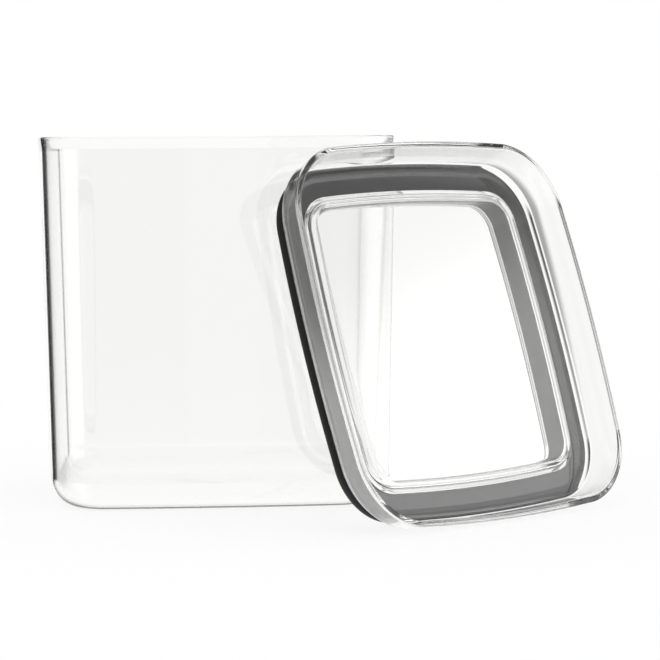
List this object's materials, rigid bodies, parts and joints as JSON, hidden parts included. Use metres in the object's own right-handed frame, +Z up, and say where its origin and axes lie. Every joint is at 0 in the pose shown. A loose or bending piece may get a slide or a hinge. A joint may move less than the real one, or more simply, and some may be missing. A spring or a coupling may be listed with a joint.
{
  "type": "lidded storage canister",
  "caption": "Square clear plastic storage canister with bowed sides and a lift-off clear lid that seals its mouth with a soft black gasket.",
  "frame": {"origin": "middle of the canister's flat foot, on the surface that it stands on", "axes": "+Z up, -Y out of the canister's front side, +X to the side where the lid leans"},
  "size_m": [0.1706, 0.1679, 0.1087],
  "materials": {
    "clear_body": "polished",
    "clear_lid": "polished",
    "black_silicone": "satin"
  },
  "bodies": {
    "canister": {"canister_body": "clear_body"},
    "lid": {"lid_shell": "clear_lid", "lid_gasket": "black_silicone"}
  },
  "joints": [
    {"name": "lid_lift", "type": "slide", "parent": "canister", "child": "lid", "axis": [0, 0, 1], "range_m": [0, 0.12]}
  ]
}
